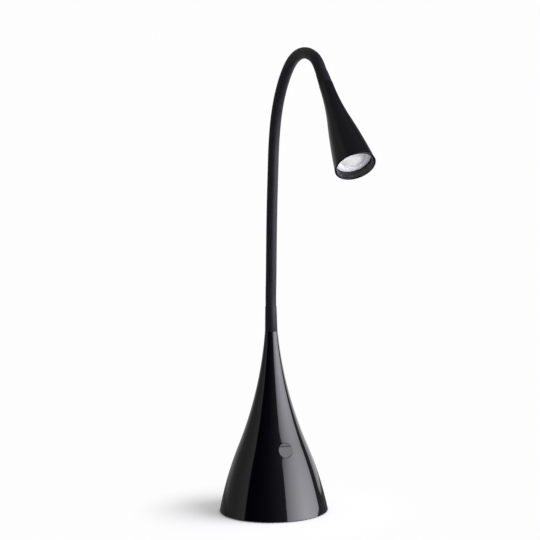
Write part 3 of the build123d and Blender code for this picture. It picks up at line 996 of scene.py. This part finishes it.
@dataclass
class Base:
    """Glossy casing with its button and gland holes, the foot pad and the neck's collar."""

    shop: Workshop
    finishes: dict[str, Finish]
    wall: Trumpet = Trumpet(54.3 * MM, 33.9 * MM, 67.6 * MM, 22.4, 6.3 * MM, 180.5 * MM)
    wall_thickness: float = 2.4 * MM
    edge_lift: float = 0.8 * MM
    edge_rounding: float = 0.35 * MM
    shelf_height: float = 142 * MM
    stud_bore: float = 4.2 * MM
    button_height: float = 67 * MM
    button_bore: float = 7.7 * MM
    gland_height: float = 14 * MM
    gland_bore: float = 4.2 * MM
    segments: int = 256
    row_spacing: float = 1.0 * MM
    inner_row_spacing: float = 3.0 * MM
    pad_rounding: float = 0.4 * MM
    pad_back_rounding: float = 0.2 * MM
    pad_segments: int = 128
    groove_radii: tuple[float, ...] = (12 * MM, 20 * MM, 28 * MM)
    groove_width: float = 1.6 * MM
    groove_depth: float = 0.5 * MM
    groove_rounding: float = 0.1 * MM

    def axis(self) -> Path:
        """The base's upright axis."""
        return straight(Vector(), Vector((0.0, 0.0, 1.0)), self.wall.top_height)

    def casing(self) -> bpy.types.Object:
        """Trumpet-shaped casing, closed round its wall, with holes for the button and gland."""
        wall, lift = self.wall, self.edge_lift
        outside = wall.run(lift, wall.top_height, self.row_spacing)
        inside = wall.run(self.shelf_height, lift, self.inner_row_spacing, self.wall_thickness)
        outside[0] = (*outside[0][:2], self.edge_rounding)
        inside[-1] = (*inside[-1][:2], self.edge_rounding)
        neck_seat = [(self.stud_bore, wall.top_height, 0.0), (self.stud_bore, self.shelf_height, 0.0)]
        points = rounded([*outside, *neck_seat, *inside])
        finish = self.finishes["base_gloss"]
        piece = self.shop.turn("base_casing", self.axis(), points, finish, self.segments)
        self.shop.bore(piece, self.button_place(), self.button_bore)
        gland = Matrix.Translation((0.0, wall.foot_radius, self.gland_height))
        gland = gland @ Matrix.Rotation(math.radians(90), 4, "X")
        self.shop.bore(piece, gland, self.gland_bore)
        self.shop.polish(piece.data, wall)
        return piece

    def button_place(self) -> Matrix:
        """Middle of the button on the wall, with Z along the wall's normal."""
        height = self.button_height
        lean = self.wall.lean_at(height)
        place = Matrix.Translation((0.0, -self.wall.radius_at(height), height))
        return place @ Matrix.Rotation(math.radians(90) - lean, 4, "X")

    def foot_pad(self) -> bpy.types.Object:
        """Rubber pad with grooves in its underside."""
        _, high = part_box("anti_slip_foot")
        corners: list[Corner] = [(0.0, 0.0, 0.0)]
        half, deep, fold = self.groove_width / 2, self.groove_depth, self.groove_rounding
        for radius in self.groove_radii:
            near, far = radius - half, radius + half
            corners += [(near, 0.0, fold), (near, deep, fold), (far, deep, fold), (far, 0.0, fold)]
        corners += [(high.x, 0.0, self.pad_rounding), (high.x, high.z, self.pad_back_rounding)]
        points = rounded([*corners, (0.0, high.z, 0.0)], closed=False)
        finish = self.finishes["foot_rubber"]
        return self.shop.turn("foot_pad", self.axis(), points, finish, self.pad_segments)

    def build(self) -> None:
        """Makes the base's pieces and seats them."""
        self.shop.seat(self.casing(), "base", "base_shell")
        self.shop.seat(self.foot_pad(), "base", "anti_slip_foot")


@dataclass
class Collar:
    """Tapered collar with a ledge that the neck's sleeve stands on."""

    shop: Workshop
    finish: Finish
    foot_radius: float = 6.2 * MM
    tip_radius: float = 5.65 * MM
    sleeve_bore: float = 5.4 * MM
    core_bore: float = 4.45 * MM
    flange_bore: float = 5.1 * MM
    flange_room: float = 1.6 * MM
    ledge: float = 3.5 * MM
    rounding: float = 0.1 * MM
    segments: int = 96

    def make(self, name: str, path: Path, foot: float, length: float) -> bpy.types.Object:
        """Turns the collar.

        Args:
            name: The piece's name.
            path: Axis of the base or the head.
            foot: Where the collar starts along that axis.
            length: The collar's length.

        Returns:
            The collar.
        """
        tip = foot + length
        corners = [
            (self.foot_radius, foot, self.rounding),
            (self.tip_radius, tip, self.rounding),
            (self.sleeve_bore, tip, 0.0),
            (self.sleeve_bore, foot + self.ledge, 0.0),
            (self.core_bore, foot + self.ledge, 0.0),
            (self.core_bore, foot + self.flange_room, 0.0),
            (self.flange_bore, foot + self.flange_room, 0.0),
            (self.flange_bore, foot, 0.0),
        ]
        return self.shop.turn(name, path, rounded(corners), self.finish, self.segments)


class Layer(Enum):
    """Layers of the neck, by radius, bore and material slot."""

    SLEEVE = (5.3 * MM, 4.4 * MM, "neck_sleeve")
    CORE = (4.35 * MM, 2.2 * MM, "neck_steel")
    LEAD = (1.8 * MM, 0.0, "lead_pvc")


@dataclass
class Neck:
    """Bendable neck: each layer is cut at the middle of its links and bends across one joint.

    The tails are how far each layer reaches past the neck's start and its last bend.
    """

    shop: Workshop
    finishes: dict[str, Finish]
    start_height: float = 205.2 * MM
    length: float = 326 * MM
    straight_end: float = 8.7 * MM
    bends: tuple[float, ...] = (5.0, -1.5, 1.0, 2.0, 0.0, 10.0, 17.0, 18.0, 31.5, 28.0, 28.0)
    row_spacing: float = 1.0 * MM
    segments: int = 48
    tails: dict[Layer, tuple[float, float]] = field(
        default_factory=lambda: {
            Layer.SLEEVE: (21.2 * MM, 19.2 * MM),
            Layer.CORE: (12.7 * MM, 10.7 * MM),
            Layer.LEAD: (167.4 * MM, 96.2 * MM),
        }
    )

    def joints(self) -> int:
        """Number of joints along the neck."""
        return len(self.bends) - 1

    def spacing(self) -> float:
        """Distance between joints along the neck."""
        return self.length / self.joints()

    def path(self) -> Path:
        """The neck's centre line, from the lower collar to the upper one."""
        half = self.spacing() / 2
        lengths = (half, *(self.joints() - 1) * (self.spacing(),), half)
        return Path(Vector((0.0, 0.0, self.start_height)), 0.0, lengths, self.bends)

    def end(self) -> Matrix:
        """Place where the upper collar ends, with Z along the neck."""
        return self.path().frame_at(self.length + self.straight_end)

    def stretch(self, layer: Layer, joint: int) -> tuple[float, float]:
        """Where one layer's length at a joint starts and ends along the neck.

        Args:
            layer: The layer.
            joint: The joint's number, from 1.

        Returns:
            The start and the end, which reach into the collars at the neck's ends.
        """
        start, end = (joint - 1) * self.spacing(), joint * self.spacing()
        below, above = self.tails[layer]
        return start - (below if joint == 1 else 0.0), end + (above if joint == self.joints() else 0.0)

    def outline(self, radius: float, bore: float, start: float, end: float) -> list[Point]:
        """Outline of a tube or rod, in steps short enough to bend.

        Args:
            radius: Outer radius.
            bore: Inner radius, 0 for a rod.
            start: Where it starts along the neck.
            end: Where it ends.

        Returns:
            The outline's points.
        """
        count = max(2, round((end - start) / self.row_spacing))
        lengths = [start + (end - start) * i / count for i in range(count + 1)]
        outside = [(radius, s, 0.0) for s in lengths]
        if not bore:
            return rounded([(0.0, start, 0.0), *outside, (0.0, end, 0.0)], closed=False)
        return rounded([*outside, *((bore, s, 0.0) for s in reversed(lengths))])

    def build(self) -> None:
        """Makes every layer's lengths along the neck's path and hides the CAD nodes that they stand for."""
        path = self.path()
        for joint in range(1, self.joints() + 1):
            start, _ = path.at((joint - 1) * self.spacing() + self.row_spacing)
            end, _ = path.at(joint * self.spacing() - self.row_spacing)
            for layer in Layer:
                radius, bore, slot = layer.value
                points = self.outline(radius, bore, *self.stretch(layer, joint))
                name = f"{layer.name.lower()}_length_{joint:02d}"
                piece = self.shop.turn(name, path, points, self.finishes[slot], self.segments)
                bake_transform(piece)
                node = f"neck_{layer.name.lower()}"
                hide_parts(f"{node}_{joint:02d}", f"{node}_{joint + 1:02d}")


@dataclass
class Head:
    """Glossy head casing with its white ring, its opal diffuser and the neck's upper collar."""

    shop: Workshop
    finishes: dict[str, Finish]
    neck_end: Matrix
    wall: Trumpet = Trumpet(18.5 * MM, 10.8 * MM, 51.75 * MM, 10.7, 6.5 * MM, 94.8 * MM)
    wall_thickness: float = 1.6 * MM
    solid_length: float = 24.8 * MM
    stud_bore: float = 4.2 * MM
    collar_length: float = 14 * MM
    rim_rounding: float = 0.35 * MM
    row_spacing: float = 0.8 * MM
    inner_row_spacing: float = 1.6 * MM
    dome_steps: int = 24
    segments: int = 192
    ring_recess: float = 7.1 * MM
    ring_length: float = 6.4 * MM
    ring_gap: float = 0.05 * MM
    ring_edge_rounding: float = 0.3 * MM
    ring_face_rounding: float = 0.25 * MM
    window_rounding: float = 0.15 * MM
    ring_face_radius: float = 13.4 * MM
    window_radius: float = 11.2 * MM
    cup_depth: float = 0.6 * MM
    ledge: float = 0.8 * MM
    lens_bore: float = 12.15 * MM
    lens_radius: float = 12 * MM
    lens_thickness: float = 1.6 * MM
    dome_radius: float = 10.6 * MM
    dome_height: float = 1.5 * MM

    def mouth(self) -> Vector:
        """Middle of the head's mouth."""
        return self.neck_end @ Vector((0.0, 0.0, self.collar_length + self.wall.top_height))

    def path(self) -> Path:
        """The head's axis, from the middle of its mouth to the neck."""
        neck = self.neck_end.translation
        return straight(self.mouth(), neck, self.wall.top_height + self.collar_length)

    def turn(self, name: str, points: Sequence[Point], slot: str) -> bpy.types.Object:
        """Turns a piece about the head's axis."""
        return self.shop.turn(name, self.path(), points, self.finishes[slot], self.segments)

    def casing(self) -> bpy.types.Object:
        """Trumpet-shaped casing with a rounded rim."""
        wall = self.wall
        end_of_hollow = wall.top_height - self.solid_length
        outside = wall.run(0.0, wall.top_height, self.row_spacing)
        inside = wall.run(end_of_hollow, 0.0, self.inner_row_spacing, self.wall_thickness)
        outside[0] = (*outside[0][:2], self.rim_rounding)
        inside[-1] = (*inside[-1][:2], self.rim_rounding)
        neck_seat = [(self.stud_bore, wall.top_height, 0.0), (self.stud_bore, end_of_hollow, 0.0)]
        return self.turn("head_casing", rounded([*outside, *neck_seat, *inside]), "head_gloss")

    def ring(self) -> bpy.types.Object:
        """White ring with a conical cup and the ledge that the diffuser sits behind."""
        front, back = self.ring_recess, self.ring_recess + self.ring_length
        cup_end = front + self.cup_depth
        seat = cup_end + self.ledge
        outside = self.wall.run(back, front, self.row_spacing, self.wall_thickness + self.ring_gap)
        outside[-1] = (*outside[-1][:2], self.ring_edge_rounding)
        corners = [
            *outside,
            (self.ring_face_radius, front, self.ring_face_rounding),
            (self.window_radius, cup_end, self.window_rounding),
            (self.window_radius, seat, 0.0),
            (self.lens_bore, seat, 0.0),
            (self.lens_bore, back, 0.0),
        ]
        return self.turn("lens_bezel", rounded(corners), "ring_white")

    def diffuser(self) -> bpy.types.Object:
        """Opal disc with a low dome towards the mouth."""
        seat = self.ring_recess + self.cup_depth + self.ledge
        sphere = (self.dome_radius**2 + self.dome_height**2) / (2 * self.dome_height)
        top, back = seat - self.dome_height, seat + self.lens_thickness
        radii = [self.dome_radius * i / self.dome_steps for i in range(self.dome_steps + 1)]
        dome = [(r, top + sphere - math.sqrt(sphere**2 - r**2), 0.0) for r in radii]
        rim = [(self.lens_radius, seat, 0.0), (self.lens_radius, back, self.window_rounding)]
        points = rounded([*dome, *rim, (0.0, back, 0.0)], closed=False)
        return self.turn("opal_diffuser", points, "diffuser_frost")

    def build(self) -> None:
        """Makes the head's pieces and seats them."""
        self.shop.seat(self.casing(), "head", "head_shell")
        self.shop.seat(self.ring(), "head", "lens_ring")
        self.shop.seat(self.diffuser(), "head", "diffuser_lens")


@dataclass
class Fittings:
    """CAD nodes that keep their own shape and get a finish."""

    nodes: dict[str, bpy.types.Object]
    finishes: dict[str, Finish]

    def dress(self) -> None:
        """Gives each CAD node the finish of the slot that its material is named for."""
        for name, node in self.nodes.items():
            for slot in node.material_slots:
                slot.material = self.finishes[slot.material.name].material()
            if not node.hide_render:
                LOG.info("%s keeps its CAD shape", name)


# Studio


@dataclass
class Studio:
    """White floor and surroundings, a large softbox on the lamp's left, and the camera.

    Bearings are in degrees from -Y towards +X. A wall's point is a bearing and a strength.
    """

    camera_place: Place = (-578.9 * MM, -1491.5 * MM, 384.6 * MM)
    camera_azimuth: float = -21.2
    camera_pitch: float = 5.12
    camera_roll: float = 0.82
    focal_length: float = 108.53
    sensor_width: float = 36.0
    clip: Point = (0.05, 50.0)
    white: float = 0.985
    floor_radius: float = 12.0
    floor_segments: int = 96
    floor_colour: Colour = (0.8, 0.8, 0.8)
    floor_lift: float = 0.28
    floor_fade: Point = (0.055, 0.15)
    contact_shade_edge: Point = (0.048, 0.058)
    ambient: float = 0.34
    near_floor_gloss: float = 0.15
    near_floor: Point = (0.25, 0.5)
    softbox_span: Point = (6.8, 91.4)
    softbox_distance: float = 1.7
    softbox_height: float = 1.25
    softbox_lift: float = 10 * MM
    softbox_power: float = 33.0
    fill_power: float = 30.0
    softbox_spread: float = 112.0
    softbox_colour: Colour = (0.94, 0.92, 1.0)
    walls: tuple[Point, ...] = (
        (-180.0, 0.45),
        (-163.0, 0.41),
        (-156.0, 0.36),
        (-148.0, 0.24),
        (-135.0, 0.22),
        (-115.0, 0.29),
        (-94.0, 0.47),
        (-87.0, 0.55),
        (-85.0, 0.005),
        (-61.0, 0.01),
        (-37.0, 0.03),
        (-21.0, 0.08),
        (0.0, 0.18),
        (7.0, 0.2),
        (92.5, 0.12),
        (109.5, 0.12),
        (111.5, 1.35),
        (142.0, 1.1),
        (180.0, 0.45),
    )
    wall_top: Point = (0.68, 0.88)
    low_wall_start: float = 109.5
    low_wall_top: Point = (0.10, 0.26)
    above_low_wall: float = 0.1
    ceiling: float = 0.17

    def floor(self) -> None:
        """Pale floor that turns to plain white away from the lamp, and keeps its shadow, with painted shade
        in a ring round the base's edge.
        """
        mesh = bpy.data.meshes.new("studio_floor")
        work = bmesh.new()
        size = {"segments": self.floor_segments, "radius": self.floor_radius}
        bmesh.ops.create_circle(work, cap_ends=True, **size)
        work.to_mesh(mesh)
        work.free()
        floor = Workshop.link("studio_floor", mesh)
        material = bpy.data.materials.new("studio_floor")
        material.use_nodes = True
        graph = Graph(material.node_tree)
        place, rays = graph.here(), graph.node("ShaderNodeLightPath").outputs
        away = graph.measure("LENGTH", place)
        lit = graph.node("ShaderNodeBsdfDiffuse", {}, {"Color": solid(self.floor_colour)}).outputs[0]
        # Painted shade: no glow under and right round the base's edge, so the floor there stays darker.
        lift = graph.glow({"Strength": away.step(*self.contact_shade_edge) * self.floor_lift})
        near = graph.node("ShaderNodeAddShader", {}, {0: lit, 1: lift}).outputs[0]
        seen = graph.mix(away.step(*self.floor_fade), near, graph.glow({"Strength": self.white}))
        mirrored = self.walls_in_gloss(graph, place)
        close = 1 - away.step(*self.near_floor)
        mirrored = graph.glow({"Color": graph.blend(close, mirrored, grey(self.near_floor_gloss))})
        pale = graph.mix(self.direct(graph, rays), lit, seen)
        surface = graph.mix(rays["Is Glossy Ray"], pale, mirrored)
        graph.node("ShaderNodeOutputMaterial", {}, {"Surface": surface})
        mesh.materials.append(material)

    @staticmethod
    def direct(graph: Graph, rays: Any) -> Value:
        """1 for a ray that comes straight from the camera or through a clear piece."""
        kinds = ("Is Camera Ray", "Is Transmission Ray")
        return graph.maths("MAXIMUM", *(Value(graph, rays[kind]) for kind in kinds))

    def walls_in_gloss(
        self, graph: Graph, way: bpy.types.NodeSocket, above: bool = False
    ) -> bpy.types.NodeSocket:
        """What the lamp's gloss shows of the studio's walls.

        Args:
            graph: The graph that takes the nodes.
            way: Direction from the lamp.
            above: Whether the direction passes over the low wall at the back.

        Returns:
            The colour seen in that direction.
        """
        bearing = graph.maths("ARCTAN2", graph.part(way, "X"), 0.0 - graph.part(way, "Y"))
        ramp = graph.node("ShaderNodeValToRGB", {}, {0: bearing / (2 * math.pi) + 0.5})
        stops = ramp.color_ramp.elements
        for azimuth, strength in self.walls[1:-1]:
            if above and azimuth > self.low_wall_start:
                strength = min(strength, self.above_low_wall)
            stops.new(azimuth / 360 + 0.5).color = grey(strength)
        stops[0].color = grey(self.walls[0][1])
        stops[len(stops) - 1].color = grey(self.walls[-1][1])
        return ramp.outputs["Color"]

    def surroundings(self) -> None:
        """White behind the lamp, and in its gloss the studio's walls by their bearing."""
        world = bpy.data.worlds.new("studio")
        world.use_nodes = True
        bpy.context.scene.world = world
        graph = Graph(world.node_tree)
        way = graph.node("ShaderNodeTexCoord").outputs["Generated"]
        height = graph.part(way, "Z")
        low, high = (self.walls_in_gloss(graph, way, above) for above in (False, True))
        walls = graph.blend(height.step(*self.low_wall_top), low, high)
        walls = graph.blend(height.step(*self.wall_top), walls, grey(self.ceiling))
        rays = graph.node("ShaderNodeLightPath").outputs
        soft = graph.blend(rays["Is Glossy Ray"], grey(self.ambient), walls)
        seen = graph.blend(self.direct(graph, rays), soft, grey(self.white))
        background = graph.node("ShaderNodeBackground", {}, {"Color": seen}).outputs[0]
        graph.node("ShaderNodeOutputWorld", {}, {"Surface": background})

    def softbox(self, name: str, power: float, in_gloss: bool) -> None:
        """Large softbox that stands on the floor and fills a span of bearings.

        Args:
            name: The light's name.
            power: Its power in watts.
            in_gloss: Whether the lamp's gloss shows it.
        """
        low, high = self.softbox_span
        middle, half = math.radians((low + high) / 2), math.radians((high - low) / 2)
        data = bpy.data.lights.new(name, "AREA")
        data.shape = "RECTANGLE"
        data.size = 2 * self.softbox_distance * math.tan(half)
        data.size_y = self.softbox_height
        data.energy = power
        data.spread = math.radians(self.softbox_spread)
        data.color = self.softbox_colour
        lamp = Workshop.link(name, data)
        lamp.visible_glossy = in_gloss
        lamp.visible_camera = False
        height = self.softbox_height / 2 + self.softbox_lift
        lamp.matrix_world = (
            Matrix.Rotation(middle, 4, "Z")
            @ Matrix.Translation((0.0, -self.softbox_distance, height))
            @ Matrix.Rotation(math.radians(90), 4, "X")
        )

    def camera(self) -> None:
        """Camera in front of the lamp and a little to its right, at the height of its neck."""
        data = bpy.data.cameras.new("camera")
        data.lens, data.sensor_width = self.focal_length, self.sensor_width
        data.clip_start, data.clip_end = self.clip
        camera = Workshop.link("camera", data)
        bearing = math.radians(self.camera_azimuth)
        camera.matrix_world = (
            Matrix.Translation(self.camera_place)
            @ Matrix.Rotation(bearing, 4, "Z")
            @ Matrix.Rotation(math.radians(90 - self.camera_pitch), 4, "X")
            @ Matrix.Rotation(math.radians(-self.camera_roll), 4, "Z")
        )
        bpy.context.scene.camera = camera
        bpy.context.scene.view_settings.view_transform = "Standard"

    def build(self) -> None:
        """Sets up the whole studio."""
        self.floor()
        self.surroundings()
        self.softbox("softbox", self.softbox_power, True)
        self.softbox("fill", self.fill_power, False)
        self.camera()


def main() -> None:
    """Builds the lamp and its studio around the frame."""
    logging.basicConfig(level=logging.INFO, format="%(name)s: %(message)s")
    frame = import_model()
    shop = Workshop()
    neck = Neck(shop, {})
    head = Head(shop, {}, neck.end())
    axis = head.neck_end.to_3x3() @ Vector((0.0, 0.0, 1.0))
    finishes = Palette(head.mouth(), axis).finishes()
    neck.finishes = head.finishes = finishes
    base = Base(shop, finishes)
    collar = Collar(shop, finishes["collar_paint"])
    Studio().build()
    Fittings(frame["nodes"], finishes).dress()
    base.build()
    foot = base.wall.top_height
    lower = collar.make("lower_collar", base.axis(), foot, neck.start_height - foot)
    shop.seat(lower, "base", "base_collar")
    neck.build()
    head.build()
    upper = collar.make("upper_collar", head.path(), head.wall.top_height, head.collar_length)
    shop.seat(upper, "head", "head_collar")


if __name__ == "__main__":
    main()
